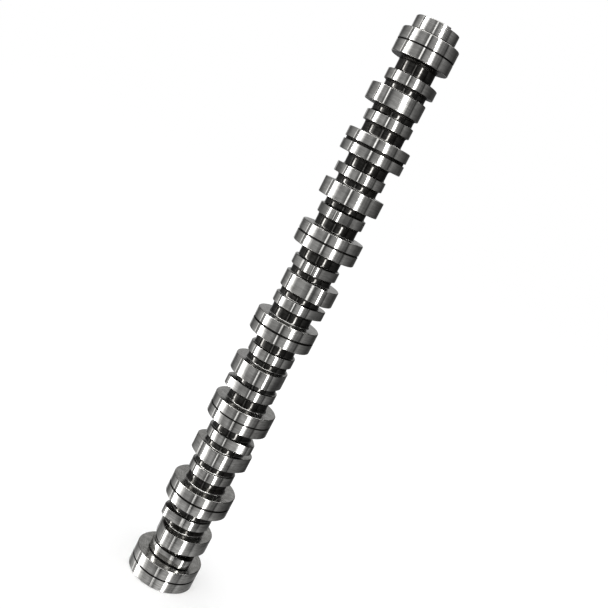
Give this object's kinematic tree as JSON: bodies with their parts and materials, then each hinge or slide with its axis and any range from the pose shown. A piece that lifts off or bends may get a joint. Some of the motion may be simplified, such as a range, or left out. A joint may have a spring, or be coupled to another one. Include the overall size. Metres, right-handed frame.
{
  "type": "camshaft",
  "caption": "One-piece steel engine camshaft with ground journals, oil grooves, paired valve lobes and wide injector lobes on dark turned necks.",
  "frame": {"origin": "middle of the tail journal's end face, on the shaft's axis", "axes": "+Z along the shaft's axis towards the nose that takes the drive gear; +X towards the side of the nose that the timing step is milled on"},
  "size_m": [0.09, 0.0898, 0.7738],
  "materials": {
    "ground_steel": "ground bright journals and lobes, dark turned necks, satin end faces"
  },
  "bodies": {
    "root": {"camshaft": "ground_steel"}
  },
  "joints": []
}
